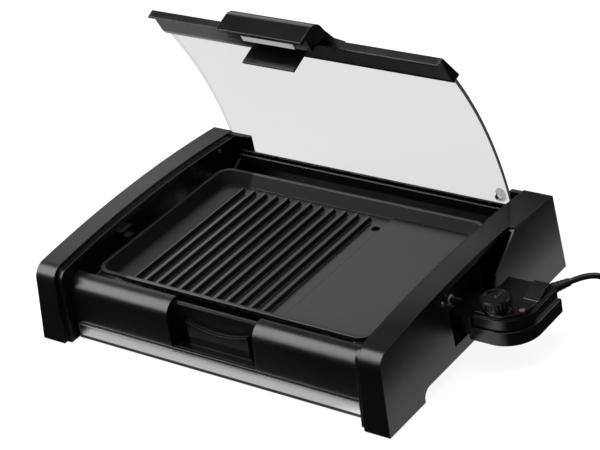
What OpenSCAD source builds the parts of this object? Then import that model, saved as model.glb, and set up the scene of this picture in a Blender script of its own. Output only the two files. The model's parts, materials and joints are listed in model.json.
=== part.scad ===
// Electric indoor grill with a hinged glass lid, a lift-out plate, a drip tray
// and a plug-in heat controller. Millimetres, +Z up, front towards -Y.
// The pieces are laid out with x = 0 at the outer bottom edge of the left cheek
// and y = 0 at the front of the feet, then shifted so that the origin is the
// centre of the footprint on the floor.

/* [Body] */

// Width over the two side cheeks at the floor
body_w = 430; // [400:1:480]
// Depth over the feet
body_d = 314.5; // [300:0.5:340]
// Height of the cheeks at their highest point
cheek_top = 93; // [88:1:104]
// Thickness of one side cheek
cheek_w = 35; // [33:1:42]
// Wall thickness of the moulded plastic
wall = 2.6; // [2:0.1:3.4]
// Height of the arch between the feet of a cheek
arch_z = 13.5; // [10:0.5:16]
// How far the outer side face leans in from floor to top
flare = 5; // [2:0.5:7]

/* [Front] */

// Height of the nose of the front panel
panel_top = 69.5; // [68:0.5:69.5]
// Radius of the rolled nose of the front panel
panel_nose_r = 17; // [14:0.5:17.5]
// Width of the finger recess in the front panel
recess_w = 105; // [90:1:130]
// Lower edge of the front panel
panel_bottom = 20.9; // [20.9:0.1:24]

/* [Plate] */

// Height of the plate rim
plate_rim_z = 70; // [69:0.5:70]
// Depth of the plate dish
plate_deep = 11.5; // [9:0.5:12]
// Number of grill ribs
rib_count = 12; // [8:1:12]
// Distance from rib to rib
rib_pitch = 14.8; // [12:0.2:14.8]
// Height of the ribs over the plate floor
rib_h = 5; // [2:0.5:6]
// Diameter of the drain hole
drain_d = 9; // [6:0.5:11]

/* [Tray] */

// Depth of the drip tray
tray_deep = 16; // [12:1:16]
// Thickness of the tray sheet
tray_t = 1.5; // [1:0.1:2]

/* [Lid] */

// Angle the lid stands open
lid_open = 67.7; // [0:0.1:67.7]
// Height of the hinge pins
hinge_z = 44.3; // [43:0.1:46]
// Diameter of the hinge pins
pin_d = 5; // [4:0.1:6]
// Radial clearance between a hinge pin and its arm
pin_clear = 0.05; // [0.02:0.01:0.1]
// Thickness of the glass
glass_t = 4; // [3:0.1:4.2]
// Width of the lid handle
handle_w = 101; // [80:1:101]
// Width of the tab under the handle
tab_w = 62; // [40:1:80]

/* [Heat] */

// Outer diameter of the heating tube
tube_d = 6.5; // [5:0.1:7]
// Height of the heating tube axis
tube_z = 46; // [44:0.5:47]
// Diameter of the temperature probe
probe_d = 6; // [5:0.1:6.5]
// Diameter of the two contact pins
contact_d = 4; // [3.5:0.1:5]

/* [Controller] */

// Diameter of the heat dial
dial_d = 30; // [24:1:34]
// Height of the controller housing top
ctrl_top = 60; // [58:0.5:61]
// Reach of the controller past the right cheek
ctrl_reach = 66.5; // [60:0.5:75]

/* [Cord] */

// Diameter of the mains cord
cord_d = 6; // [5:0.1:6]
// Turns of the coil in the lower layer
lower_turns = 3; // [2:1:4]

/* [Hidden] */

$fn = 48;
arc_fn = 360;

// Floor clearance: the pads stand this far out of the feet
pad_proud = 1.5;
pad_t = 3;
pad_d = 16;
pad_x = 17;
pad_front_y = 24;
pad_rear_y = body_d - 26;
foot_floor = 4;

// Clearances
seat = 0.1;
slide_gap = 0.5;
press = 0.02;

// Overall shift: the controller is the right-hand end
ctrl_x1 = body_w + ctrl_reach;
mid_x = ctrl_x1 / 2;
mid_y = body_d / 2;

// Cheek profile in (y, z)
top_r = 1370;
nose_r = 16;
nose_over = 0.02;
front_lean = 0.096;
rear_lean = 0.0485;
top_c = [body_d - 147.5, cheek_top - top_r];
step_inset = 4.5;
band_w = cheek_w - 6;
front_foot_d = 60.6;
rear_foot_y = body_d - 60.5;
arch_r = 10.5;
far = 120;
below = 8;

front_u = [front_lean, 1] / norm([front_lean, 1]);
front_n = [front_u[1], -front_u[0]];
front_p = [0, pad_proud];
nose_w = front_p + nose_r * front_n - top_c;
nose_b = -(nose_w * front_u);
nose_q = nose_w * nose_w - pow(top_r - nose_r, 2);
nose_t = nose_b + sqrt(nose_b * nose_b - nose_q);
nose_c = front_p + nose_r * front_n + nose_t * front_u;
nose_dir = (nose_c - top_c) / norm(nose_c - top_c);
rear_n = [-1, -rear_lean] / norm([1, rear_lean]);
rear_u = [-rear_lean, 1] / norm([1, rear_lean]);
rear_p = [body_d, pad_proud];

// Inner faces of the two cheeks
in_l = cheek_w;
in_r = body_w - cheek_w;

// Hinge
hinge_y = body_d - 33.6;
boss_d = 14;
boss_x = 5.6;
arm_t = 4;
arm_r = 6;
pin_len = 19;
pin_in = 8;

// Rear of the body
ear_y = body_d - 8.9;
ear_l = in_l + 21;
ear_r = in_r - 10;
ear_top = 84;
rear_top = 58;
rear_t = 2.4;
rear_y = body_d - 3.5;
bay_y = body_d - 46.2;
bay_z = 22;

// Where the controller plugs in
plate_y0 = 44.8;
plate_y1 = body_d - 50.5;
pins_y = (plate_y0 + plate_y1) / 2 - 4.4;
pins_gap = 26;

// Wing and side opening of the right cheek
wing_top_x = body_w + 2;
wing_low_x = body_w + 6;
wing_in_x = body_w - 31;
open_front_y = pins_y - 30;
open_low_z = 26;
open_rear = [[pins_y + 88, far], [pins_y + 88, 88], [pins_y + 45, 61], [pins_y + 36, 48],
    [pins_y + 34, open_low_z]];

// Front panel
panel_y = 16.5;
panel_nose_c = [panel_y + 2 + panel_nose_r, panel_top - panel_nose_r];
panel_back_y = 38;
recess_l = body_w / 2 - recess_w / 2;
recess_r = body_w / 2 + recess_w / 2;
pocket_y = 32.4;
pocket_top = 64.5;
liner_t = 2.4;
smile_r = 104;
smile_z = 41.5;
smile_w = 76;

// Base pan
pan_y0 = 45.6;
pan_y1 = bay_y - 0.3;
pan_z = 32;
pan_t = 1.2;
pan_top = 52;

// Plate
plate_x0 = in_l + 15;
plate_x1 = in_r - 9;
plate_t = 4;
plate_low_z = plate_rim_z - plate_deep - plate_t;
plate_floor_z = plate_low_z + plate_t;
rim_w = 4;
slope_w = 8;
corner_r = 14;
rib_x0 = plate_x0 + 41;
rib_y0 = plate_y0 + 11.2;
rib_y1 = plate_y1 - 24;
rib_low_w = 7;
rib_top_w = 4.4;
drain_x = rib_x0 + (rib_count - 1) * rib_pitch + 15.7;
drain_y = plate_y1 - 34;
griddle_x0 = drain_x + 6.5;
griddle_h = 1.5;
support_d = 10;
support_in_x = 34;
support_in_y = 28;

// Drip tray
tray_top = 19.2;
tray_x0 = in_l + 5;
tray_x1 = in_r - 5;
tray_y0 = 18;
tray_y1 = plate_y1 - 2;
tray_low = tray_top - tray_deep;
strip_y = 13.4;
strip_z0 = 7.8;
strip_z1 = 20.2;
runner_t = 2.3;

// Lid section in (y, z), lid closed
glass_r = 480;
glass_y0 = 60;
glass_y1 = hinge_y + 2.1;
glass_f = [glass_y0, 76.4678];
glass_b = [glass_y1, 70.9731];
glass_half = norm(glass_b - glass_f) / 2;
glass_down = [glass_b[1] - glass_f[1], glass_f[0] - glass_b[0]] / (2 * glass_half);
glass_c = (glass_f + glass_b) / 2 + sqrt(pow(glass_r, 2) - pow(glass_half, 2)) * glass_down;
lid_x0 = in_l + 5.8;
lid_x1 = in_r - 6.3;
rail_y0 = 41;
rail_y1 = 76;
groove = 0.1;
rear_rail = [[-11.9, 76.2], [14.6, 70], [14.6, 64.6], [0.1, 65.4], [-11.9, 68.8]];
cap_t = 1.5;
grommet_x = lid_x0 + 13.2;
grommet_y = hinge_y - 23.9;
grommet_d = 8;
handle_nose_r = 16;
handle_c = [19.5, 53];
handle_wall = 4;
handle_low = 36;
handle_floor = 44;
handle_l = body_w / 2 - handle_w / 2;
handle_r = body_w / 2 + handle_w / 2;
tab_low = 28.5;
tab_t = 2.2;

// Heating tube
tube_x0 = plate_x0 + 38;
tube_x1 = plate_x1 - 24;
tube_y0 = pins_y - 60;
tube_y1 = pins_y + 60;
bend_r = 12;
tube_end = in_r - 3;
sleeve_d = 7;
bush_d = 10;

// Controller
ctrl_x0 = body_w + 8.5;
ctrl_y0 = pins_y - 18;
ctrl_y1 = pins_y + 56;
ctrl_low = 29.5;
ctrl_split = 44;
ctrl_r = 34;
cover_in = 2.4;
dial_c = [body_w + 31, pins_y];
neck_x = body_w - 11;
neck_y0 = pins_y - 20;
neck_y1 = pins_y + 21;
neck_z0 = 37;
neck_z1 = 56;
neck_in = 4;
dial_low = ctrl_top + 6;
dial_top = ctrl_top + 13;
lamp_c = [body_w + 56, pins_y + 4];
probe_x0 = in_r - 50;

// Cord path
exit_p = [body_w + 51, ctrl_y1 - 2, 50];
exit_dir = [0.5, 0.866, 0];
relief_len = 26;
cord_p0 = exit_p + relief_len * exit_dir;
cord_r = cord_d / 2;
coil_gap = 0.5;
coil_pitch = cord_d + coil_gap;
coil_in_r = 21.5;
upper_turns = 2.4;
ring_step = 15;
coil_out_r = coil_in_r + coil_pitch * lower_turns;
lead_xy = [57.5, 99.6];
coil_start = [cord_p0[0] + lead_xy[0], cord_p0[1] + lead_xy[1], cord_r];
coil_c = [coil_start[0] + 0.866 * coil_out_r, coil_start[1] - 0.5 * coil_out_r];
plug_len = 34;
plug_w = 34;
plug_h = 18;

plastic = [0.07, 0.07, 0.075];
steel = [0.75, 0.75, 0.76];

// Helpers

module on_floor()
    translate([-mid_x, -mid_y, 0])
        children();

module lid_pose()
    on_floor()
        translate([0, hinge_y, hinge_z])
            rotate([-lid_open, 0, 0])
                translate([0, -hinge_y, -hinge_z])
                    children();

// Draws a (y, z) outline as a bar from x0 to x1
module bar_x(x0, x1)
    translate([x0, 0, 0])
        rotate([90, 0, 90])
            linear_extrude(height = x1 - x0)
                children();

// Draws an (x, z) outline as a bar from y0 to y1
module bar_y(y0, y1)
    translate([0, y1, 0])
        rotate([90, 0, 0])
            linear_extrude(height = y1 - y0)
                children();

module block(p0, p1)
    translate(p0)
        cube(p1 - p0);

module rod_x(x0, x1, y, z, d)
    translate([x0, y, z])
        rotate([0, 90, 0])
            cylinder(h = x1 - x0, d = d);

module mirror_body()
    translate([body_w, 0, 0])
        mirror([1, 0, 0])
            children();

module both_sides() {
    children();
    mirror_body()
        children();
}

// Side cheeks

// Side outline of a cheek, pulled in by inset all round, cut off below low_z
module cheek_outline(inset, low_z) {
    r_in = nose_r - inset;
    p1 = nose_c - r_in * front_n;
    p2 = top_c + (top_r - inset) * nose_dir;
    f0 = front_p + inset * front_n - below * front_u;
    r0 = rear_p + inset * rear_n - below * rear_u;
    r1 = rear_p + inset * rear_n + far * rear_u;
    difference() {
        union() {
            intersection() {
                translate(top_c)
                    circle(r = top_r - inset, $fn = arc_fn * 2);
                polygon([f0, p1, p2, [p2[0], far], r1, r0]);
            }
            translate(nose_c)
                circle(r = r_in + nose_over, $fn = 96);
        }
        translate([-far, low_z - far])
            square([body_d + 2 * far, far]);
    }
}

// Arch between the feet, grown by grow all round
module arch_outline(grow) {
    r = arch_r + grow;
    y0 = front_foot_d - grow;
    y1 = rear_foot_y + grow;
    z1 = arch_z + grow;
    translate([y0, -far])
        square([y1 - y0, far + z1 - r]);
    translate([y0 + r, -far])
        square([y1 - y0 - 2 * r, far + z1]);
    translate([y0 + r, z1 - r])
        circle(r = r);
    translate([y1 - r, z1 - r])
        circle(r = r);
}

// Everything right of the leaning outer face moved in by inset
module lean_side(inset)
    bar_y(-far, body_d + far)
        polygon([[inset, pad_proud], [inset + flare, cheek_top], [inset + flare, far],
            [far, far], [far, -far], [inset, -far]]);

module cheek_solid()
    intersection() {
        union() {
            bar_x(0, band_w)
                difference() {
                    cheek_outline(0, pad_proud);
                    arch_outline(0);
                }
            bar_x(band_w / 2, cheek_w)
                difference() {
                    cheek_outline(step_inset, pad_proud);
                    arch_outline(0);
                }
        }
        lean_side(0);
    }

module cheek_hollow()
    intersection() {
        bar_x(wall, cheek_w - wall)
            difference() {
                cheek_outline(step_inset + wall, pad_proud + foot_floor);
                arch_outline(wall);
            }
        lean_side(wall);
    }

// Seats of the hinge pin and of the two pads
module cheek_cuts() {
    rod_x(cheek_w - pin_in, cheek_w + boss_x + 1, hinge_y, hinge_z, pin_d + 2 * press);
    for (y = [pad_front_y, pad_rear_y])
        translate([pad_x, y, pad_proud - 1])
            cylinder(h = pad_t - pad_proud + 1 + seat, d = pad_d + 2 * seat);
}

module cheek() {
    difference() {
        union() {
            difference() {
                cheek_solid();
                cheek_hollow();
            }
            rod_x(cheek_w - wall - pin_in + 1, cheek_w + boss_x - slide_gap,
                hinge_y, hinge_z, boss_d);
        }
        cheek_cuts();
    }
}

// Rear wall of a cheek turned inwards behind the lid, above the rear panel
module ear(x0, x1)
    bar_x(x0, x1)
        intersection() {
            cheek_outline(0, arch_z);
            polygon([[ear_y + 3.3, rear_top + 0.2], [ear_y + 0.9, rear_top + 9.5], [ear_y, ear_top],
                [body_d + 1, ear_top], [body_d + 1, rear_top + 0.2]]);
        }

// The left cheek is open from below between its feet
module left_cheek() {
    slot_y0 = front_foot_d + arch_r;
    slot_y1 = rear_foot_y - arch_r;
    color(plastic)
        on_floor() {
            difference() {
                cheek();
                block([flare + wall, slot_y0, 0], [cheek_w - wall, slot_y1, arch_z + 2 * wall]);
            }
            ear(band_w - 2, ear_l);
        }
}

// Outline of the wing in (y, z), its front edge runs down past the opening
module wing_side()
    polygon(concat(open_rear, [[pins_y + 34, -far], [body_d + far, -far], [body_d + far, far]]));

module wing_lean(inset)
    bar_y(-far, body_d + far)
        polygon([[wing_in_x, -far], [wing_low_x - inset, -far], [wing_low_x - inset, pad_proud],
            [wing_top_x - inset, cheek_top - 6], [wing_top_x - inset, far], [wing_in_x, far]]);

module wing_solid()
    intersection() {
        bar_x(wing_in_x, wing_low_x)
            intersection() {
                difference() {
                    cheek_outline(0, pad_proud);
                    arch_outline(0);
                }
                wing_side();
            }
        wing_lean(0);
    }

module wing_hollow()
    intersection() {
        bar_x(wing_in_x - 1, wing_low_x)
            intersection() {
                difference() {
                    cheek_outline(2 * wall, pad_proud + foot_floor);
                    arch_outline(wall);
                }
                translate([pins_y + 30, -far])
                    square([body_d, 3 * far]);
            }
        wing_lean(wall);
    }

module side_opening()
    bar_x(body_w - 2 * flare, body_w + flare)
        intersection() {
            cheek_outline(step_inset + wall, open_low_z);
            polygon(concat([[open_front_y, open_low_z], [open_front_y, far]], open_rear));
        }

module right_cheek() {
    color(plastic)
        on_floor() {
            difference() {
                union() {
                    mirror_body()
                        cheek();
                    wing_solid();
                }
                wing_hollow();
                side_opening();
                mirror_body()
                    cheek_cuts();
                for (s = [-1, 1])
                    rod_x(in_r - 1, in_r + 2 * wall, pins_y + s * pins_gap / 2, tube_z,
                        bush_d + 2 * seat);
                rod_x(in_r - 1, in_r + 2 * wall, pins_y, tube_z, probe_d + 2);
            }
            ear(ear_r, body_w - band_w + 2);
        }
}

// Front panel

module panel_bar(x0, x1, inset) {
    c = panel_nose_c;
    r = panel_nose_r - inset;
    back = panel_back_y - inset;
    bar_x(x0, x1)
        polygon([[panel_y + inset, panel_bottom - 2 * inset], [c[0] - r, c[1]],
            [back, c[1] + sqrt(r * r - pow(back - c[0], 2))], [back, panel_bottom - 2 * inset]]);
    difference() {
        translate([x0, c[0], c[1]])
            rotate([0, 90, 0])
                cylinder(h = x1 - x0, r = r + nose_over, $fn = 96);
        block([x0 - 1, back, 0], [x1 + 1, far, far]);
    }
}

module front_panel() {
    color(plastic)
        on_floor()
            difference() {
                intersection() {
                    panel_bar(in_l + seat, in_r - seat, 0);
                    block([0, 0, panel_bottom], [body_w, far, far]);
                }
                panel_bar(0, body_w, wall);
                block([recess_l, -1, panel_bottom + 1.4], [recess_r, pocket_y, cheek_top]);
                block([recess_l, pocket_y - 1, pocket_top], [recess_r, panel_back_y + 1, cheek_top]);
            }
}

module finger_recess() {
    z0 = panel_bottom + 1.4;
    color(plastic)
        on_floor() {
            for (x = [recess_l - liner_t, recess_r])
                intersection() {
                    panel_bar(x, x + liner_t, wall + seat);
                    block([0, 0, panel_bottom], [body_w, far, far]);
                }
            block([recess_l - 1, pocket_y, panel_bottom],
                [recess_r + 1, pocket_y + liner_t, pocket_top]);
            block([recess_l - 1, pocket_y, pocket_top - liner_t],
                [recess_r + 1, panel_back_y - wall - seat, pocket_top]);
            block([recess_l - 1, panel_y + wall + 1, panel_bottom],
                [recess_r + 1, pocket_y + liner_t, z0]);
            difference() {
                block([body_w / 2 - smile_w / 2, pocket_y - 4, z0 - 1],
                    [body_w / 2 + smile_w / 2, pocket_y + 1, smile_z + 8]);
                translate([body_w / 2, pocket_y + 2, smile_z + smile_r])
                    rotate([90, 0, 0])
                        cylinder(h = 9, r = smile_r, $fn = 180);
            }
        }
}

// Base

module rear_panel() {
    color(plastic)
        on_floor() {
            block([in_l + seat, rear_y, arch_z], [in_r - seat, rear_y + rear_t, rear_top]);
            block([in_l + seat, bay_y + 1, bay_z], [in_r - seat, rear_y + 1, bay_z + rear_t]);
            block([in_l + seat, bay_y, bay_z], [in_r - seat, bay_y + rear_t, pan_top]);
        }
}

module base_pan() {
    color(steel)
        on_floor()
            difference() {
                block([in_l + seat, pan_y0, pan_z], [in_r - seat, pan_y1, pan_top]);
                block([in_l + seat + pan_t, pan_y0 + pan_t, pan_z + pan_t],
                    [in_r - seat - pan_t, pan_y1 - pan_t, pan_top + 1]);
                translate([drain_x, drain_y, pan_z - 1])
                    cylinder(h = 4, d = drain_d + 8);
                for (s = [-1, 1])
                    rod_x(in_r - 4, in_r + 1, pins_y + s * pins_gap / 2, tube_z, bush_d + 2 * seat);
                rod_x(in_r - 4, in_r + 1, pins_y, tube_z, probe_d + 2);
            }
}

module tray_runners() {
    color(steel)
        on_floor()
            both_sides()
                block([in_l + seat, 22, tray_top - runner_t],
                    [in_l + 4.4, tray_y1 + 2, tray_top - seat]);
}

module drip_tray() {
    color(plastic)
        on_floor() {
            difference() {
                block([tray_x0, tray_y0 - 1, tray_low], [tray_x1, tray_y1, tray_top + tray_t]);
                block([tray_x0 + tray_t, tray_y0 + tray_t, tray_low + tray_t],
                    [tray_x1 - tray_t, tray_y1 - tray_t, tray_top + 2 * tray_t]);
            }
            both_sides()
                block([in_l + 0.8, tray_y0, tray_top], [tray_x0 + 1, tray_y1, tray_top + tray_t]);
            block([in_l + 3, strip_y + 1.5, 2.7], [in_r - 3, tray_y0 + 1, strip_z1 + 0.3]);
        }
}

module tray_front_strip() {
    color(steel)
        on_floor()
            block([in_l + 6, strip_y, strip_z0], [in_r - 6, strip_y + 1.45, strip_z1]);
}

module foot_pads() {
    color([0.1, 0.1, 0.1])
        on_floor()
            both_sides()
                for (y = [pad_front_y, pad_rear_y])
                    translate([pad_x, y, 0])
                        cylinder(h = pad_t, d = pad_d);
}

module cheek_screws() {
    head_d = 5;
    color(steel)
        on_floor() {
            both_sides()
                rod_x(in_l, in_l + 1.3, hinge_y - 2.9, 77.5, head_d);
            rod_x(body_w - flare + 1.2, body_w - flare + 2.5, open_front_y - 7, 78, head_d);
        }
}

// Grill plate

// Rounded rectangle slab used at the two levels of the dish
module corner_slab(x0, y0, x1, y1, z, r)
    for (x = [x0 + r, x1 - r])
        for (y = [y0 + r, y1 - r])
            translate([x, y, z])
                cylinder(h = 0.5, r = r, $fn = 32);

module rib(x)
    translate([x, 0, plate_floor_z - 0.5]) {
        bar_y(rib_y0, rib_y1)
            polygon([[-rib_low_w / 2, 0], [rib_low_w / 2, 0], [rib_top_w / 2, rib_h + 0.5],
                [-rib_top_w / 2, rib_h + 0.5]]);
        for (y = [rib_y0, rib_y1])
            translate([0, y, 0])
                cylinder(h = rib_h + 0.5, d1 = rib_low_w, d2 = rib_top_w, $fn = 24);
    }

module grill_plate() {
    s = slope_w;
    w = rim_w;
    color([0.2, 0.2, 0.2])
        on_floor()
            difference() {
                union() {
                    difference() {
                        union() {
                            hull() {
                                corner_slab(plate_x0 + w, plate_y0 + w, plate_x1 - w, plate_y1 - w,
                                    plate_rim_z - 2, corner_r);
                                corner_slab(plate_x0 + w + s, plate_y0 + w + s, plate_x1 - w - s,
                                    plate_y1 - w - s, plate_low_z, corner_r);
                            }
                            hull()
                                translate([0, 0, plate_rim_z - 2.5])
                                    scale([1, 1, 5])
                                        corner_slab(plate_x0, plate_y0, plate_x1, plate_y1, 0,
                                            corner_r + 2);
                        }
                        hull() {
                            corner_slab(plate_x0 + w, plate_y0 + w, plate_x1 - w, plate_y1 - w,
                                plate_rim_z, corner_r - 1);
                            corner_slab(plate_x0 + w + s, plate_y0 + w + s, plate_x1 - w - s,
                                plate_y1 - w - s, plate_floor_z, corner_r - 2);
                        }
                    }
                    for (i = [0 : rib_count - 1])
                        rib(rib_x0 + i * rib_pitch);
                    block([griddle_x0, plate_y0 + w + s, plate_floor_z - 1],
                        [plate_x1 - w - s + 1, plate_y1 - w - s, plate_floor_z + griddle_h]);
                }
                translate([drain_x, drain_y, plate_low_z - 1])
                    cylinder(h = 20, d = drain_d);
            }
}

module plate_supports() {
    color(steel)
        on_floor()
            for (x = [plate_x0 + support_in_x, plate_x1 - support_in_x])
                for (y = [plate_y0 + support_in_y, plate_y1 - support_in_y])
                    translate([x, y, pan_z + pan_t])
                        cylinder(h = plate_low_z - pan_z - pan_t - seat, d = support_d);
}

module plate_clips() {
    color(plastic)
        on_floor()
            both_sides()
                translate([0, 111, 0]) {
                    block([in_l + seat, -9, 67], [in_l + 4.5, 9, 78]);
                    block([in_l + 4, -5, 67], [in_l + 8.5, 5, 71]);
                }
}

// Heating tube and its socket

// Quarter bend in the plane of the tube, centre c, from angle a
module bend(c, a, d)
    translate([c[0], c[1], tube_z])
        rotate([0, 0, a])
            rotate_extrude(angle = 90)
                translate([bend_r, 0])
                    circle(d = d);

module tube_x(x0, x1, y, d)
    rod_x(x0, x1, y, tube_z, d);

module tube_y(y0, y1, x, d)
    translate([x, y0, tube_z])
        rotate([-90, 0, 0])
            cylinder(h = y1 - y0, d = d);

module heating_tube() {
    r = bend_r;
    ya = pins_y - pins_gap / 2;
    yb = pins_y + pins_gap / 2;
    color([0.35, 0.35, 0.36])
        on_floor() {
            tube_x(tube_x1 + r, tube_end, ya, tube_d);
            bend([tube_x1 + r, ya - r], 90, tube_d);
            tube_y(tube_y0 + r, ya - r, tube_x1, tube_d);
            bend([tube_x1 - r, tube_y0 + r], -90, tube_d);
            tube_x(tube_x0 + r, tube_x1 - r, tube_y0, tube_d);
            bend([tube_x0 + r, tube_y0 + r], 180, tube_d);
            tube_y(tube_y0 + r, tube_y1 - r, tube_x0, tube_d);
            bend([tube_x0 + r, tube_y1 - r], 90, tube_d);
            tube_x(tube_x0 + r, tube_x1 - r, tube_y1, tube_d);
            bend([tube_x1 - r, tube_y1 - r], 0, tube_d);
            tube_y(yb + r, tube_y1 - r, tube_x1, tube_d);
            bend([tube_x1 + r, yb + r], 180, tube_d);
            tube_x(tube_x1 + r, tube_end, yb, tube_d);
        }
}

module tube_clips() {
    hold = tube_d + 2 * seat;
    top = tube_z + 2.5;
    color(steel)
        on_floor() {
            for (x = [tube_x0 + 62, tube_x1 - 62])
                for (y = [tube_y0, tube_y1])
                    difference() {
                        block([x, y - 6, pan_z + pan_t], [x + 8, y + 6, top]);
                        rod_x(x - 1, x + 9, y, tube_z, hold);
                    }
        }
}

module contact_pins() {
    color(steel)
        on_floor()
            for (s = [-1, 1])
                rod_x(tube_end, body_w - 13, pins_y + s * pins_gap / 2, tube_z, contact_d);
}

module pin_bushes() {
    color([0.85, 0.83, 0.78])
        on_floor()
            for (s = [-1, 1])
                difference() {
                    rod_x(tube_end + seat, in_r + wall + 2, pins_y + s * pins_gap / 2, tube_z, bush_d);
                    rod_x(tube_end, in_r + wall + 3, pins_y + s * pins_gap / 2, tube_z,
                        contact_d + 2 * press);
                }
}

module socket_guard() {
    x0 = in_r + wall + seat;
    y0 = pins_y - 24;
    y1 = pins_y + 48;
    z0 = 33;
    z1 = 66;
    t = 1.5;
    deep = 16;
    color(steel)
        on_floor()
            difference() {
                union() {
                    block([x0, y0, z0], [x0 + t, y1, z1]);
                    block([x0, y0, z0], [x0 + deep, y0 + t, z1]);
                    block([x0, y1 - t, z0], [x0 + deep, y1, z1]);
                }
                for (s = [-1, 1])
                    rod_x(x0 - 1, x0 + 3, pins_y + s * pins_gap / 2, tube_z, bush_d + 2 * seat);
                rod_x(x0 - 1, x0 + 3, pins_y, tube_z, probe_d + 2);
            }
}

// Lid

module glass_band(grow)
    difference() {
        translate(glass_c)
            circle(r = glass_r + grow, $fn = arc_fn * 2);
        translate(glass_c)
            circle(r = glass_r - glass_t - grow, $fn = arc_fn * 2);
    }

module glass_outline(grow, y0, y1)
    intersection() {
        glass_band(grow);
        translate([y0, 0])
            square([y1 - y0, far]);
    }

module lid_glass() {
    color([0.85, 0.9, 0.9, 0.35])
        lid_pose()
            difference() {
                bar_x(lid_x0, lid_x1)
                    glass_outline(0, glass_y0, glass_y1);
                at_grommet()
                    translate([0, 0, -2 * glass_t])
                        cylinder(h = 4 * glass_t, d = grommet_d + 2 * seat);
            }
}

module front_rail_outline()
    polygon([[rail_y0, 73.6], [rail_y0 + 0.4, 64.5], [rail_y0 + 2.4, 64.5],
        [rail_y0 + 2.6, 70.5], [rail_y1 - 6, 71.5], [rail_y1, 73.6], [rail_y1, 84.2]]);

module lid_front_rail() {
    color(plastic)
        lid_pose()
            bar_x(lid_x0, lid_x1)
                difference() {
                    front_rail_outline();
                    glass_outline(groove, glass_y0 - groove, rail_y1 + 1);
                }
}

module rail_end_caps() {
    color(plastic)
        lid_pose()
            for (x = [lid_x0 - cap_t, lid_x1])
                bar_x(x, x + cap_t)
                    front_rail_outline();
}

module handle_outline() {
    c = handle_c;
    r = handle_nose_r;
    polygon([[c[0] - r, c[1]], [c[0], c[1] + r], [rail_y0, 76.4], [57, 86.5], [66, 87.5],
        [66, 81.4], [rail_y0 - 0.1, 73.75], [rail_y0 - 0.1, 69.6], [26, 65.4],
        [24.5, handle_floor], [c[0] - r, handle_floor]]);
    difference() {
        translate(c)
            circle(r = r + nose_over, $fn = 96);
        translate([c[0] + 1, 0])
            square([far, far]);
    }
}

module lid_handle() {
    lip = handle_c[0] - handle_nose_r;
    color(plastic)
        lid_pose() {
            bar_x(handle_l, handle_r)
                intersection() {
                    handle_outline();
                    translate([0, handle_floor])
                        square([far, far]);
                }
            block([handle_l, lip, handle_low], [handle_r, lip + handle_wall, handle_c[1]]);
        }
}

module handle_plate() {
    lip = handle_c[0] - handle_nose_r;
    color(steel)
        lid_pose()
            block([body_w / 2 - tab_w / 2, lip + handle_wall + 2, handle_floor - 1.2],
                [body_w / 2 + tab_w / 2, 24, handle_floor - press]);
}

module handle_tab() {
    color(plastic)
        lid_pose()
            block([body_w / 2 - tab_w / 2, rail_y0 + 0.2 - tab_t, tab_low],
                [body_w / 2 + tab_w / 2, rail_y0 + 0.2, 67]);
}

module lid_rear_rail() {
    color(plastic)
        lid_pose()
            bar_x(lid_x0, lid_x1)
                difference() {
                    polygon([for (p = rear_rail) [hinge_y + p[0], p[1]]]);
                    glass_outline(groove, hinge_y - 20, glass_y1 + groove);
                }
}

// The arm reaches from the hinge to the underside of the rear rail
module hinge_arm(x0)
    lid_pose()
        difference() {
            union() {
                bar_x(x0, x0 + arm_t)
                    polygon([[hinge_y - 7.4, 67.4], [hinge_y + 0.1, 65.3], [hinge_y + 10.1, 64.8],
                        [hinge_y + arm_r - 1.5, hinge_z], [hinge_y - arm_r + 1.5, hinge_z]]);
                rod_x(x0, x0 + arm_t, hinge_y, hinge_z, 2 * arm_r);
            }
            rod_x(x0 - 1, x0 + arm_t + 1, hinge_y, hinge_z, pin_d + 2 * pin_clear);
        }

module left_hinge_arm() {
    color(plastic)
        hinge_arm(lid_x0);
}

module right_hinge_arm() {
    color(plastic)
        hinge_arm(lid_x1 - arm_t);
}

module hinge_pins() {
    color(steel)
        on_floor()
            both_sides()
                rod_x(cheek_w - pin_in + seat, cheek_w - pin_in + pin_len, hinge_y, hinge_z, pin_d);
}

module at_grommet() {
    off = grommet_y - glass_c[0];
    both_sides()
        translate([grommet_x, grommet_y, glass_c[1] + sqrt(pow(glass_r, 2) - pow(off, 2))])
            rotate([-asin(off / glass_r), 0, 0])
                children();
}

module glass_grommets() {
    color(plastic)
        lid_pose()
            at_grommet() {
                translate([0, 0, 0.2])
                    linear_extrude(height = 1.8)
                        for (s = [-1, 0, 1])
                            translate([0, 3 * s])
                                circle(d = grommet_d + 2.5);
                translate([0, 0, -glass_t])
                    cylinder(h = glass_t + 1, d = grommet_d);
            }
}

// Controller

module ctrl_outline(inset) {
    r = ctrl_r - inset;
    x1 = ctrl_x1 - inset;
    y0 = ctrl_y0 + inset;
    y1 = ctrl_y1 - inset;
    translate([ctrl_x0 + inset, y0])
        square([x1 - r - ctrl_x0 - inset, y1 - y0]);
    translate([ctrl_x0 + inset, y0 + r])
        square([x1 - ctrl_x0 - inset, y1 - y0 - r]);
    intersection() {
        translate([x1 - r, y0 + r])
            circle(r = r, $fn = 96);
        translate([ctrl_x0 + inset + 1, 0])
            square([far, 3 * far]);
    }
}

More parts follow.
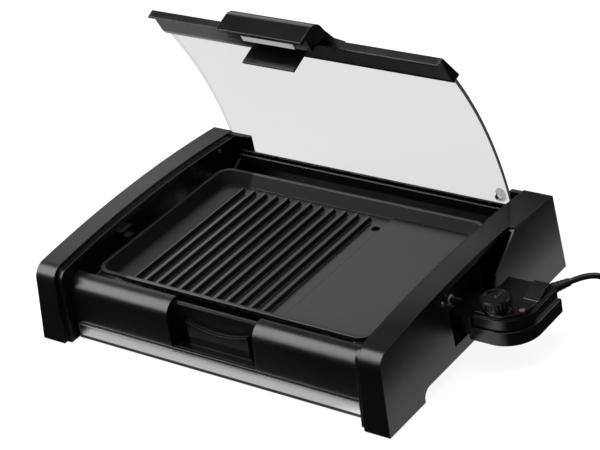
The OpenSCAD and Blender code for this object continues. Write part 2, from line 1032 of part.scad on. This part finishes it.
module controller_base() {
    color(plastic)
        on_floor()
            difference() {
                union() {
                    translate([0, 0, ctrl_low])
                        linear_extrude(height = ctrl_split - ctrl_low)
                            ctrl_outline(0);
                    block([neck_x, neck_y0, neck_z0], [ctrl_x0 + neck_in, neck_y1, neck_z1]);
                }
                for (s = [-1, 1])
                    rod_x(neck_x - 1, ctrl_x0 - 1, pins_y + s * pins_gap / 2, tube_z,
                        sleeve_d + 2 * press);
                rod_x(neck_x - 1, ctrl_x0 - 1, pins_y, tube_z, probe_d + 2 * press);
                translate([0, 0, ctrl_low + wall])
                    linear_extrude(height = ctrl_split)
                        difference() {
                            ctrl_outline(wall);
                            square([ctrl_x0 + 2 * wall, far * 3]);
                        }
            }
}

module controller_cover() {
    lead = ctrl_split + press;
    color(plastic)
        on_floor()
            difference() {
                union() {
                    translate([0, 0, lead])
                        linear_extrude(height = ctrl_top - 4 - lead)
                            ctrl_outline(cover_in);
                    translate([0, 0, ctrl_top - 5])
                        linear_extrude(height = 5)
                            ctrl_outline(cover_in + 2.8);
                    translate([dial_c[0], dial_c[1], ctrl_top - 1])
                        cylinder(h = 3.5, d = dial_d - 2);
                }
                translate([0, 0, lead - 1])
                    linear_extrude(height = ctrl_top - 4 - wall - lead)
                        difference() {
                            ctrl_outline(cover_in + wall);
                            square([ctrl_x0 + 3 * wall, far * 3]);
                        }
                block([ctrl_x0 - 1, neck_y0 - 1, neck_z0 - 1],
                    [ctrl_x0 + neck_in + seat, neck_y1 + seat, neck_z1 + seat]);
                translate([dial_c[0], dial_c[1], 0])
                    cylinder(h = far, d = 6 + 2 * pin_clear);
                translate([lamp_c[0], lamp_c[1], 0])
                    cylinder(h = far, d = 6.1);
            }
}

module controller_grip() {
    color(plastic)
        on_floor()
            bar_x(body_w + 46, ctrl_x1 - 4)
                polygon([[pins_y + 22, ctrl_top + press], [pins_y + 38, ctrl_top + 6.5],
                    [pins_y + 46, ctrl_top + 6.5], [pins_y + 51.5, ctrl_top + press]]);
}

module control_dial() {
    color([0.16, 0.16, 0.16])
        on_floor()
            translate([dial_c[0], dial_c[1], 0]) {
                difference() {
                    union() {
                        translate([0, 0, ctrl_top + 2.7])
                            cylinder(h = dial_top - ctrl_top - 2.7, d = dial_d - 3);
                        translate([0, 0, dial_low])
                            cylinder(h = dial_top - dial_low - 1, d = dial_d);
                    }
                    translate([0, 0, dial_top - 1.2])
                        cylinder(h = 3, d = dial_d - 8);
                    for (a = [0 : 15 : 345])
                        rotate([0, 0, a])
                            translate([dial_d / 2 + 0.6, 0, dial_low - 1])
                                cylinder(h = 9, d = 2.4, $fn = 16);
                }
                translate([-1.5, 0, dial_top - 1.6])
                    cube([3, dial_d / 2 - 4.2, 1.6]);
                translate([0, 0, ctrl_top - 10])
                    cylinder(h = 14, d = 6);
            }
}

module lamp_lens() {
    color([0.7, 0.1, 0.1])
        on_floor()
            translate([lamp_c[0], lamp_c[1], ctrl_top - 5])
                cylinder(h = 6, d = 6);
}

module temperature_probe() {
    color(steel)
        on_floor() {
            rod_x(probe_x0 + probe_d / 2, ctrl_x0 - 1 - seat, pins_y, tube_z, probe_d);
            translate([probe_x0 + probe_d / 2, pins_y, tube_z])
                sphere(d = probe_d);
        }
}

module contact_sleeves() {
    color(steel)
        on_floor()
            for (s = [-1, 1])
                difference() {
                    rod_x(in_r + wall + 3, ctrl_x0 - 1 - seat, pins_y + s * pins_gap / 2, tube_z,
                        sleeve_d);
                    rod_x(in_r + wall + 2, body_w - 12.5, pins_y + s * pins_gap / 2, tube_z,
                        contact_d + 0.1);
                }
}

// Cord

module along_exit()
    translate(exit_p)
        rotate([0, 0, 60])
            rotate([0, 90, 0])
                children();

module cord_relief() {
    color(plastic)
        on_floor()
            difference() {
                along_exit()
                    difference() {
                        translate([0, 0, 3])
                            cylinder(h = relief_len - 3, d1 = 12, d2 = cord_d + 2);
                        for (i = [1 : 4])
                            translate([0, 0, 3 + 4.4 * i])
                                difference() {
                                    cylinder(h = 1.8, d = 20);
                                    cylinder(h = 1.8, d = cord_d + 1.6);
                                }
                        translate([0, 0, relief_len - 1])
                            cylinder(h = 2, d = cord_d);
                    }
                block([exit_p[0] - 11, exit_p[1] - 14, 40], [exit_p[0] + 19, ctrl_y1 + press, 60]);
            }
}

// Tube swept along a list of points; the first and last cuts are square
function unit(v) = v / norm(v);
function along(p, i) = let (n = len(p) - 1)
    unit(p[min(i + 1, n)] - p[max(i - 1, 0)]);
function ring(p, i, r, sides) = let (t = along(p, i), s = unit(cross(t, [0, 0, 1])), u = cross(s, t))
    [for (k = [0 : sides - 1]) p[i] + r * (cos(360 * (k + 0.5) / sides) * s
        + sin(360 * (k + 0.5) / sides) * u)];

module swept(p, r, sides) {
    n = len(p);
    points = [for (i = [0 : n - 1]) each ring(p, i, r, sides)];
    skin = [for (i = [0 : n - 2]) for (k = [0 : sides - 1])
        let (a = i * sides + k, b = i * sides + (k + 1) % sides)
        each [[a, a + sides, b], [b, a + sides, b + sides]]];
    head = [[for (k = [0 : sides - 1]) k]];
    tail = [[for (k = [0 : sides - 1]) n * sides - 1 - k]];
    polyhedron(points = points, faces = concat(head, skin, tail), convexity = 10);
}

// Height of the hanging cord over the way it has gone, chosen by eye
hang = [[0, 50], [6, 50], [14, 49.5], [22, 48], [30, 45], [38, 40], [45, 34], [52, 27],
    [59, 20], [66, 13.5], [73, 8.5], [80, 5.5], [88, 3.8], [96, 3.1], [103, 3], [109, 3], [115, 3]];
function cord_point(q) = [cord_p0[0] + exit_dir[0] * q[0], cord_p0[1] + exit_dir[1] * q[0],
    max(q[1], cord_r)];

module mains_cord() {
    color([0.05, 0.05, 0.05])
        on_floor()
            swept([for (q = hang) cord_point(q)], cord_r, 8);
}

// Coil: the cord spirals in on the floor, climbs one cord and spirals out again
turn0 = 150;
lower_deg = 360 * lower_turns;
upper_deg = 360 * upper_turns;
function coil_r(a) = coil_in_r + coil_pitch * (sqrt(a * a + 400) - 20) / 360;
function coil_z(a) = cord_r + coil_pitch * min(1, max(0, (a + 90) / 180));
function coil_point(a) = let (w = turn0 - lower_deg - a)
    [coil_c[0] + coil_r(a) * cos(w), coil_c[1] + coil_r(a) * sin(w), coil_z(a)];
coil_path = [for (a = [-lower_deg : ring_step : upper_deg]) coil_point(a)];
coil_n = len(coil_path);
coil_t1 = unit(coil_path[coil_n - 1] - coil_path[coil_n - 2]);
coil_flat = unit([coil_t1[0], coil_t1[1], 0]);
coil_end = coil_path[coil_n - 1] + 16 * coil_flat;

coil_first = cord_point(hang[len(hang) - 1]);
coil_lead = [coil_first, coil_first + cord_d * exit_dir];
coil_tail = [for (s = [6, 11, 16]) coil_path[coil_n - 1] + s * coil_flat];
coil_line = concat(coil_lead, [for (i = [1 : coil_n - 1]) coil_path[i]], coil_tail);

// Least gap of the coil to itself, between points half a loop or more apart
coil_ways = [for (i = [0 : len(coil_line) - 1]) for (j = [i + 12 : 1 : len(coil_line) - 1])
    norm(coil_line[i] - coil_line[j])];
echo(least_coil_gap = min(coil_ways) - cord_d);

module cord_coil() {
    color([0.05, 0.05, 0.05])
        on_floor()
            swept(coil_line, cord_r, 6);
}

module at_plug()
    translate([coil_end[0], coil_end[1], plug_h / 2])
        rotate([0, 0, atan2(coil_flat[1], coil_flat[0])])
            children();

module mains_plug() {
    color(plastic)
        on_floor()
            at_plug() {
                difference() {
                    union() {
                        rod_x(0, 15, 0, 0, cord_d + 4);
                        translate([12, 0, -plug_h / 2])
                            linear_extrude(height = plug_h)
                                polygon([[0, -7], [plug_len - 8, -plug_w / 2], [plug_len, -plug_w / 2],
                                    [plug_len, plug_w / 2], [plug_len - 8, plug_w / 2], [0, 7]]);
                    }
                    for (s = [-1, 1])
                        rod_x(plug_len + 2, plug_len + 13, s * 9.5, 0, 4.8 + 2 * press);
                }
            }
}

module plug_pins() {
    color(steel)
        on_floor()
            at_plug()
                for (s = [-1, 1])
                    rod_x(plug_len + 2 + press, plug_len + 31, s * 9.5, 0, 4.8);
}

// Drawing

left_cheek();
right_cheek();
front_panel();
finger_recess();
rear_panel();
base_pan();
tray_runners();
drip_tray();
tray_front_strip();
grill_plate();
plate_supports();
plate_clips();
heating_tube();
tube_clips();
contact_pins();
pin_bushes();
socket_guard();
foot_pads();
hinge_pins();
cheek_screws();
lid_glass();
lid_front_rail();
rail_end_caps();
lid_handle();
handle_plate();
handle_tab();
lid_rear_rail();
left_hinge_arm();
right_hinge_arm();
glass_grommets();
controller_base();
controller_cover();
controller_grip();
control_dial();
lamp_lens();
temperature_probe();
contact_sleeves();
cord_relief();
mains_cord();
cord_coil();
mains_plug();
plug_pins();
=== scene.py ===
"""Look of the electric indoor grill with a glass lid, standing open on a pale floor."""
import json
import math
import bpy
import numpy as np
from mathutils import Matrix, Vector


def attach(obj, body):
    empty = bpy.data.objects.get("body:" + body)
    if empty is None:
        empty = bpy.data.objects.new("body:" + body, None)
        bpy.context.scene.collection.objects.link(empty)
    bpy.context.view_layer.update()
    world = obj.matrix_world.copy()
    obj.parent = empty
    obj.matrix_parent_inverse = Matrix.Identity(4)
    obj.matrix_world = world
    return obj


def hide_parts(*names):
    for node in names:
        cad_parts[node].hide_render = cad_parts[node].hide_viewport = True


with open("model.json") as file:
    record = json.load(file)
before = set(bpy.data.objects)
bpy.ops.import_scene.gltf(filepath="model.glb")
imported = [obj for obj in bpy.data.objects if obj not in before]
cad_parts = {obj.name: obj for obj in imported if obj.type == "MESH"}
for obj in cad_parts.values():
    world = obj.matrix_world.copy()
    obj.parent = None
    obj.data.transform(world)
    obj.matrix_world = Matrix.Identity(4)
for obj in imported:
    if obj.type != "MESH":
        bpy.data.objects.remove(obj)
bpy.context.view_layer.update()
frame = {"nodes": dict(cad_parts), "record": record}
nodes = frame["nodes"]
MM = 0.001
# x and y of the photograph's measuring corner in the row frame
SHIFT = np.array([-248.25, -157.25, 0.0])


# Camera

# point looked at and distance in millimetres, lens and picture width in pixels
LOOK_AT, EYE_AWAY = (215, 150, 60), 2113.5
LENS_PX, WIDE_PX, SENSOR_MM = 2110, 600, 36


def make_camera():
    """Camera of the photograph's upper view, twice as near: eye, turn and lens as measured."""
    az, el, roll = [math.radians(v) for v in (41.47, 30.93, -10.815)]
    back = Vector((math.sin(az) * math.cos(el), -math.cos(az) * math.cos(el), math.sin(el)))
    right = Vector((math.cos(az), math.sin(az), 0))
    up = back.cross(right)
    side = math.cos(roll) * right + math.sin(roll) * up
    top = -math.sin(roll) * right + math.cos(roll) * up
    eye = (Vector(LOOK_AT) + back * EYE_AWAY + Vector(SHIFT)) * MM
    data = bpy.data.cameras.new("camera")
    data.sensor_width = SENSOR_MM
    data.lens = LENS_PX / WIDE_PX * SENSOR_MM
    data.shift_x, data.shift_y = 13.3 / WIDE_PX, 31.7 / WIDE_PX
    data.clip_start, data.clip_end = 0.05, 50
    cam = bpy.data.objects.new("camera", data)
    bpy.context.scene.collection.objects.link(cam)
    turn = Matrix((side, top, back)).transposed()
    cam.matrix_world = Matrix.Translation(eye) @ turn.to_4x4()
    bpy.context.scene.camera = cam


make_camera()


# Shapes

def mesh_object(name, verts, faces, smooth=True):
    """Object at the origin from points in metres and faces."""
    mesh = bpy.data.meshes.new(name)
    mesh.from_pydata([tuple(v) for v in verts], [], faces)
    mesh.polygons.foreach_set("use_smooth", [smooth] * len(mesh.polygons))
    mesh.update()
    obj = bpy.data.objects.new(name, mesh)
    bpy.context.scene.collection.objects.link(obj)
    return obj


def tube(name, path, radius, sides):
    """Round tube along path (mm): a ring of the radius across the path at each point,
    its first direction level and square to the path; both ends are closed."""
    path = np.asarray(path, float)
    n = len(path)
    ahead = np.gradient(path, axis=0)
    ahead /= np.linalg.norm(ahead, axis=1)[:, None]
    level = np.cross(ahead, [0, 0, 1.0])
    level /= np.linalg.norm(level, axis=1)[:, None]
    over = np.cross(level, ahead)
    ang = 2 * np.pi * np.arange(sides) / sides
    pts = (path[:, None] + radius * (np.cos(ang)[None, :, None] * level[:, None]
                                     + np.sin(ang)[None, :, None] * over[:, None]))
    verts = (pts.reshape(-1, 3) + SHIFT) * MM
    faces = []
    for i in range(n - 1):
        for k in range(sides):
            a, b = i * sides + k, i * sides + (k + 1) % sides
            faces.append((a, b, b + sides, a + sides))
    faces.append(tuple(range(sides - 1, -1, -1)))
    faces.append(tuple(range((n - 1) * sides, n * sides)))
    return mesh_object(name, verts, faces)


# Cord

CORD_D = 6.0
EXIT = np.array([481, 204, 50]) + 26 * np.array([0.5, 0.866, 0])
HEADING = np.array([0.5, 0.866, 0])
# way gone along the heading and height of the cord's axis, as in the frame
HANG = [(0, 50), (6, 50), (14, 49.5), (22, 48), (30, 45), (38, 40), (45, 34), (52, 27),
        (59, 20), (66, 13.5), (73, 8.5), (80, 5.5), (88, 3.8), (96, 3.1), (103, 3), (109, 3),
        (115, 3)]
LOWER_TURNS, UPPER_TURNS = 3, 2.4
COIL_IN, COIL_PITCH = 21.5, CORD_D + 0.5


def cord_path():
    """The hanging part, then a spiral in on the floor and out again one cord higher:
    the radius grows by the pitch each turn away from the innermost point, and the height
    climbs within the half turn about it."""
    hang = [EXIT + HEADING * q + [0, 0, z - EXIT[2]] for q, z in HANG]
    outer = COIL_IN + COIL_PITCH * LOWER_TURNS
    begin = np.array([EXIT[0] + 57.5, EXIT[1] + 99.6, 0])
    centre = begin + outer * np.array([0.866, -0.5, 0])
    a = np.arange(-360 * LOWER_TURNS + 7.5, 360 * UPPER_TURNS + 0.1, 7.5)
    r = COIL_IN + COIL_PITCH * (np.sqrt(a * a + 400) - 20) / 360
    z = CORD_D / 2 + COIL_PITCH * np.clip((a + 90) / 180, 0, 1)
    w = np.radians(150 - 360 * LOWER_TURNS - a)
    coil = np.stack([centre[0] + r * np.cos(w), centre[1] + r * np.sin(w), z], axis=1)
    out = coil[-1] - coil[-2]
    out[2] = 0
    out /= np.linalg.norm(out)
    tail = [coil[-1] + s * out for s in (6, 11, 16.2)]
    return np.array(hang + [hang[-1] + 6 * HEADING] + list(coil) + tail)


def lengthen(path, step):
    """The same line with a point every step, by straight parts."""
    gone = np.concatenate([[0], np.cumsum(np.linalg.norm(np.diff(path, axis=0), axis=1))])
    at = np.linspace(0, gone[-1], int(gone[-1] / step) + 1)
    return np.stack([np.interp(at, gone, path[:, k]) for k in range(3)], axis=1), gone[-1]


line, cord_length = lengthen(cord_path(), 3.0)
cord = tube("mains_cord_round", line, CORD_D / 2, 12)
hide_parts("mains_cord", "cord_coil")
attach(cord, "controller")


# Materials

def srgb(code):
    """Linear colour from a hex code."""
    v = [int(code[i:i + 2], 16) / 255 for i in (1, 3, 5)]
    return [c / 12.92 if c <= 0.04045 else ((c + 0.055) / 1.055) ** 2.4 for c in v] + [1.0]


def add(tree, kind, inputs=None, **props):
    """New shader node with its inputs set; a socket given as an input is linked."""
    node = tree.nodes.new(kind)
    for key, value in props.items():
        setattr(node, key, value)
    for key, value in (inputs or {}).items():
        if isinstance(value, bpy.types.NodeSocket):
            tree.links.new(value, node.inputs[key])
        else:
            node.inputs[key].default_value = value
    return node


def new_material(name):
    """Empty material with its output and the object's coordinates."""
    mat = bpy.data.materials.new(name)
    mat.use_nodes = True
    tree = mat.node_tree
    tree.nodes.clear()
    out = add(tree, "ShaderNodeOutputMaterial")
    coords = add(tree, "ShaderNodeTexCoord")
    return mat, tree, out, coords.outputs["Object"]


def grained(name, colour, rough, grain_mm, depth, spread=0.04, metal=0.0, edge_mm=0.8, spec=0.5):
    """Plain surface with a fine grain: noise of the grain's size in the height and roughness,
    and edges that catch light over edge_mm."""
    mat, tree, out, obj = new_material(name)
    fine = add(tree, "ShaderNodeTexNoise", {"Vector": obj, "Scale": 1 / (grain_mm * MM),
                                            "Detail": 2.0})
    wide = add(tree, "ShaderNodeTexNoise", {"Vector": obj, "Scale": 18.0, "Detail": 3.0})
    rough_map = add(tree, "ShaderNodeMapRange", {"Value": wide.outputs[0], "From Min": 0.3,
                                                 "From Max": 0.7, "To Min": rough - spread,
                                                 "To Max": rough + spread})
    edge = add(tree, "ShaderNodeBevel", {"Radius": edge_mm * MM}, samples=4)
    bump = add(tree, "ShaderNodeBump", {"Height": fine.outputs[0], "Distance": depth * MM,
                                        "Strength": 0.5, "Normal": edge.outputs[0]})
    shade = add(tree, "ShaderNodeBsdfPrincipled", {
        "Base Color": srgb(colour), "Metallic": metal, "Roughness": rough_map.outputs[0],
        "Specular IOR Level": spec, "Normal": bump.outputs[0]})
    tree.links.new(shade.outputs[0], out.inputs[0])
    return mat


def levelled(name, colour, grain_mm, depth, edge_mm, level, sloped, on_edges,
             shade_left_of=-1.0):
    """Surface whose level faces differ from its slopes in share of mirror light and roughness,
    painted light by tilt; the tilt is that of the face, or of its rounded edge if on_edges is
    set. Left of the X given last (metres) the mirror light is a fifth: painted shade."""
    mat, tree, out, obj = new_material(name)
    fine = add(tree, "ShaderNodeTexNoise", {"Vector": obj, "Scale": 1 / (grain_mm * MM),
                                            "Detail": 2.0})
    edge = add(tree, "ShaderNodeBevel", {"Radius": edge_mm * MM}, samples=4)
    shape = add(tree, "ShaderNodeNewGeometry")
    normal = edge.outputs[0] if on_edges else shape.outputs["Normal"]
    tilt = add(tree, "ShaderNodeSeparateXYZ", {"Vector": normal})
    # painted light: level faces and slopes get their own mirror light by tilt
    spec, rough = [add(tree, "ShaderNodeMapRange", {
        "Value": tilt.outputs["Z"], "From Min": 0.75, "From Max": 0.95,
        "To Min": sloped[k], "To Max": level[k]}) for k in (0, 1)]
    place = add(tree, "ShaderNodeSeparateXYZ", {"Vector": obj})
    # painted shade: left of the X given last the mirror light drops to a fifth
    dull = add(tree, "ShaderNodeMapRange", {"Value": place.outputs["X"], "From Min": shade_left_of,
                                            "From Max": shade_left_of + 4 * MM, "To Min": 0.2,
                                            "To Max": 1.0})
    spec = add(tree, "ShaderNodeMath", {0: spec.outputs[0], 1: dull.outputs[0]},
               operation="MULTIPLY")
    bump = add(tree, "ShaderNodeBump", {"Height": fine.outputs[0], "Distance": depth * MM,
                                        "Strength": 0.5, "Normal": edge.outputs[0]})
    shade = add(tree, "ShaderNodeBsdfPrincipled", {
        "Base Color": srgb(colour), "Roughness": rough.outputs[0],
        "Specular IOR Level": spec.outputs[0], "Normal": bump.outputs[0]})
    tree.links.new(shade.outputs[0], out.inputs[0])
    return mat


def brushed(name, colour, rough, along):
    """Metal with fine lines along one axis (0 to 2): noise drawn out along it."""
    mat, tree, out, obj = new_material(name)
    scale = [2200.0, 2200.0, 2200.0]
    scale[along] = 12.0
    drawn = add(tree, "ShaderNodeMapping", {"Vector": obj, "Scale": scale})
    lines = add(tree, "ShaderNodeTexNoise", {"Vector": drawn.outputs[0], "Scale": 1.0,
                                             "Detail": 3.0})
    tone = add(tree, "ShaderNodeMapRange", {"Value": lines.outputs[0], "From Min": 0.3,
                                            "From Max": 0.7, "To Min": rough - 0.08,
                                            "To Max": rough + 0.1})
    bump = add(tree, "ShaderNodeBump", {"Height": lines.outputs[0], "Distance": 0.02 * MM,
                                        "Strength": 0.4})
    shade = add(tree, "ShaderNodeBsdfPrincipled", {
        "Base Color": srgb(colour), "Metallic": 1.0, "Roughness": tone.outputs[0],
        "Anisotropic": 0.5, "Normal": bump.outputs[0]})
    tree.links.new(shade.outputs[0], out.inputs[0])
    return mat


def clear_glass(name, colour, edge_shade_colour):
    """Clear tempered glass: straight through with a slight grey, and a faint mirror whose share
    grows towards the edge of view by the law of refraction. Where the edge of the pane faces
    +X it is tinted dark, painted shade for the light led away inside it."""
    mat, tree, out, obj = new_material(name)
    smear = add(tree, "ShaderNodeTexNoise", {"Vector": obj, "Scale": 9.0, "Detail": 2.0})
    rough = add(tree, "ShaderNodeMapRange", {"Value": smear.outputs[0], "To Min": 0.02,
                                             "To Max": 0.06})
    side = add(tree, "ShaderNodeNewGeometry")
    parts = add(tree, "ShaderNodeSeparateXYZ", {"Vector": side.outputs["True Normal"]})
    # painted shade on the edge: the right edge faces the eye; the left one is seen from inside
    # and shows faintly
    steep = add(tree, "ShaderNodeMath", {0: parts.outputs["X"], 1: 0.6},
                operation="GREATER_THAN")
    outer = add(tree, "ShaderNodeMath", {0: 1.0, 1: side.outputs["Backfacing"]},
                operation="SUBTRACT")
    near = add(tree, "ShaderNodeMapRange", {"Value": outer.outputs[0], "To Min": 0.1,
                                            "To Max": 1.0})
    across = add(tree, "ShaderNodeMath", {0: steep.outputs[0], 1: near.outputs[0]},
                 operation="MULTIPLY")
    # painted shade: the edge is tinted with the dark edge colour
    tint = add(tree, "ShaderNodeMix", {"Factor": across.outputs[0], "A": srgb(colour),
                                       "B": srgb(edge_shade_colour)}, data_type="RGBA")
    through = add(tree, "ShaderNodeBsdfTransparent", {"Color": tint.outputs[2]})
    mirror = add(tree, "ShaderNodeBsdfGlossy", {"Color": srgb("#ffffff"),
                                                "Roughness": rough.outputs[0]})
    law = add(tree, "ShaderNodeFresnel", {"IOR": 1.04})
    share = add(tree, "ShaderNodeMath", {0: law.outputs[0], 1: outer.outputs[0]},
                operation="MULTIPLY")
    mix = add(tree, "ShaderNodeMixShader", {0: share.outputs[0], 1: through.outputs[0],
                                            2: mirror.outputs[0]})
    tree.links.new(mix.outputs[0], out.inputs[0])
    return mat


# moulded black plastic of the body, finely spark-eroded
body_black = grained("moulded black plastic", "#070708", 0.3, 0.35, 0.02, edge_mm=1.4,
                    spec=0.36)
# smoother plastic of the lid's rails
rail_black = grained("smooth lid plastic", "#070708", 0.26, 0.35, 0.01, edge_mm=1.8, spec=0.45)
# body plastic in the finger recess, a touch darker and with little mirror light: painted shade
# in the recess
recess_shaded_black = grained("recess black plastic, painted shade", "#060607", 0.32, 0.35, 0.02, edge_mm=1.2, spec=0.14)
# satin steel plate under the handle
plate_steel = grained("satin steel", "#c4c4c5", 0.35, 0.4, 0.01, metal=0.3, edge_mm=0.4)
# smoother black plastic of the handle and the dial
smooth_black = grained("smooth black plastic", "#09090a", 0.22, 0.5, 0.01, edge_mm=1.2)
# dark non-stick coat on the cast plate; painted shade on its slopes and left of the first rib
coat = levelled("non-stick coat", "#0f0f10", 0.6, 0.02, 1.6, (0.75, 0.3), (0.1, 0.6), False,
                 shade_left_of=-0.158)
# black rubber of pads and cord
rubber = grained("black rubber", "#0a0a0b", 0.45, 0.8, 0.02, edge_mm=0.4)
# unglazed ceramic
ceramic = grained("ceramic", "#cfc8ba", 0.6, 0.5, 0.02, edge_mm=0.3)
# tinted lens of the lamp
lens = grained("tinted lens", "#301210", 0.15, 2.0, 0.0, edge_mm=0.3)
# brushed steel strip and handle plate
strip = brushed("brushed steel strip", "#d2d2d3", 0.2, 0)
# plain sheet steel and pins
plain = brushed("plain steel", "#b4b4b5", 0.34, 1)
# heating tube and tray, dark steel
dark = grained("dark steel", "#3a3836", 0.4, 0.5, 0.02, metal=0.8, edge_mm=0.5)
# the pane's edge facing +X tinted dark grey: painted shade
glass = clear_glass("clear glass", "#e7e7e7", "#3c3f3f")
# black plastic of the controller: tops painted dark, edges given painted highlights
shell = levelled("controller plastic", "#070708", 0.4, 0.01, 0.9, (0.08, 0.3), (0.6, 0.25), True)
# clear silicone of the grommets in the glass
silicone = clear_glass("clear silicone", "#dcdcdc", "#dcdcdc")

SLOT_LOOK = {"satin_black": body_black, "gloss_black": smooth_black, "cast_plate": coat,
             "brushed_strip": strip, "plain_steel": plain, "dark_steel": dark,
             "clear_glass": glass, "ceramic": ceramic, "black_rubber": rubber,
             "lamp_red": lens}
slot_of = {s["node"]: s["material_slot"] for s in frame["record"]["subparts"]}
# nodes that look other than the rest of their slot
OWN_LOOK = {"lid_front_rail": rail_black, "lid_rear_rail": rail_black,
            "rail_end_caps": rail_black, "controller_base": smooth_black,
            "finger_recess": recess_shaded_black, "handle_plate": plate_steel,
            "glass_grommets": silicone, "controller_cover": shell,
            "controller_grip": shell, "control_dial": shell}
for name, obj in nodes.items():
    obj.data.materials.clear()
    obj.data.materials.append(OWN_LOOK.get(name, SLOT_LOOK[slot_of[name]]))
cord.data.materials.append(rubber)


# Floor, light and background

FLOOR_HALF = 5.0


def make_floor():
    """Large pale floor at z = 0; camera rays see it lifted to white, its shadow stays.
    Mirror-like rays see it glow beside the cheeks and before the tray, dark elsewhere: painted
    reflections."""
    mat, tree, out, obj = new_material("pale floor")
    plain_floor = add(tree, "ShaderNodeBsdfDiffuse", {"Color": srgb("#e6e6e6")})
    lift = add(tree, "ShaderNodeEmission", {"Color": srgb("#ffffff"), "Strength": 0.9})
    shaded = add(tree, "ShaderNodeBsdfDiffuse", {"Color": srgb("#6e6e6e")})
    seen = add(tree, "ShaderNodeAddShader", {0: shaded.outputs[0], 1: lift.outputs[0]})
    split = add(tree, "ShaderNodeSeparateXYZ", {"Vector": obj})

    def ramp(axis, low, high, start, end):
        """Value that goes from start to end between low and high along an axis."""
        return add(tree, "ShaderNodeMapRange", {"Value": split.outputs[axis], "From Min": low,
                                                "From Max": high, "To Min": start,
                                                "To Max": end}).outputs[0]

    def times(one, other):
        """Product of two values."""
        return add(tree, "ShaderNodeMath", {0: one, 1: other}, operation="MULTIPLY").outputs[0]

    # painted reflections, zones in metres: beside the right cheek, then before the tray's front
    beside = times(times(ramp("X", 0.214, 0.25, 1.05, 0.02), ramp("X", 0.1, 0.16, 0.0, 1.0)),
                   ramp("Y", -0.16, -0.155, 0.0, 1.0))
    before = times(times(ramp("X", 0.132, 0.14, 1.0, 0.0), ramp("X", -0.22, -0.21, 0.0, 1.0)),
                   times(ramp("Y", -0.17, -0.163, 0.0, 0.72), ramp("Y", -0.15, -0.14, 1.0, 0.0)))
    # then beside the left cheek, seen in the open lid
    left = times(ramp("X", -0.3, -0.25, 0.8, 0.0), ramp("Y", -0.16, -0.12, 0.0, 1.0))
    two = add(tree, "ShaderNodeMath", {0: beside, 1: before}, operation="ADD")
    painted_reflection_zones = add(tree, "ShaderNodeMath", {0: two.outputs[0], 1: left}, operation="ADD")
    # glow that only mirror rays see: the painted reflections
    near = add(tree, "ShaderNodeEmission", {"Color": srgb("#ffffff"),
                                            "Strength": painted_reflection_zones.outputs[0]})
    path = add(tree, "ShaderNodeLightPath")
    first = add(tree, "ShaderNodeMixShader", {0: path.outputs["Is Camera Ray"],
                                              1: plain_floor.outputs[0], 2: seen.outputs[0]})
    last = add(tree, "ShaderNodeMixShader", {0: path.outputs["Is Glossy Ray"],
                                             1: first.outputs[0], 2: near.outputs[0]})
    tree.links.new(last.outputs[0], out.inputs[0])
    corners = [(-FLOOR_HALF, -FLOOR_HALF, 0), (FLOOR_HALF, -FLOOR_HALF, 0),
               (FLOOR_HALF, FLOOR_HALF, 0), (-FLOOR_HALF, FLOOR_HALF, 0)]
    floor = mesh_object("floor", corners, [(0, 1, 2, 3)], smooth=False)
    floor.data.materials.append(mat)


def soft_light(name, place, target, size, power):
    """Oblong soft light at place looking at target, all in metres and watts."""
    data = bpy.data.lights.new(name, "AREA")
    data.shape = "RECTANGLE"
    data.size, data.size_y = size
    data.energy = power
    lamp = bpy.data.objects.new(name, data)
    bpy.context.scene.collection.objects.link(lamp)
    aim = Vector(target) - Vector(place)
    lamp.location = place
    lamp.rotation_mode = "QUATERNION"
    lamp.rotation_quaternion = aim.to_track_quat("-Z", "Y")
    return lamp


def make_world():
    """White for camera and see-through rays, dim grey for the light it gives."""
    world = bpy.data.worlds.new("studio")
    bpy.context.scene.world = world
    world.use_nodes = True
    tree = world.node_tree
    tree.nodes.clear()
    out = add(tree, "ShaderNodeOutputWorld")
    path = add(tree, "ShaderNodeLightPath")
    dim = add(tree, "ShaderNodeBackground", {"Color": srgb("#bcbcbc"), "Strength": 0.35})
    dark = add(tree, "ShaderNodeBackground", {"Color": srgb("#ffffff"), "Strength": 0.02})
    white = add(tree, "ShaderNodeBackground", {"Color": srgb("#ffffff"), "Strength": 1.0})
    far = add(tree, "ShaderNodeMath", {0: path.outputs["Is Camera Ray"],
                                       1: path.outputs["Is Transmission Ray"]},
              operation="MAXIMUM")
    around = add(tree, "ShaderNodeMixShader", {0: path.outputs["Is Glossy Ray"],
                                               1: dim.outputs[0], 2: dark.outputs[0]})
    mix = add(tree, "ShaderNodeMixShader", {0: far.outputs[0], 1: around.outputs[0],
                                            2: white.outputs[0]})
    tree.links.new(mix.outputs[0], out.inputs[0])


make_floor()
make_world()
# front left, seen in the rolled noses; back left, in the level tops; back right, in the outer
# edges of the right side; overhead, plain light
soft_light("front left", (-1.14, -0.92, 1.37), (0, 0, 0.05), (1.4, 2.15), 78)
soft_light("back left", (-1.38, 1.02, 1.05), (-0.26, -0.23, 0.05), (1.6, 0.8), 5.5)
soft_light("back right", (1.05, 1.3, 1.15), (0, 0, 0.05), (0.8, 0.8), 10)
soft_light("overhead", (0.1, 0.1, 2.2), (0, 0, 0), (1.0, 1.0), 28)

scene = bpy.context.scene
scene.view_settings.view_transform = "Standard"
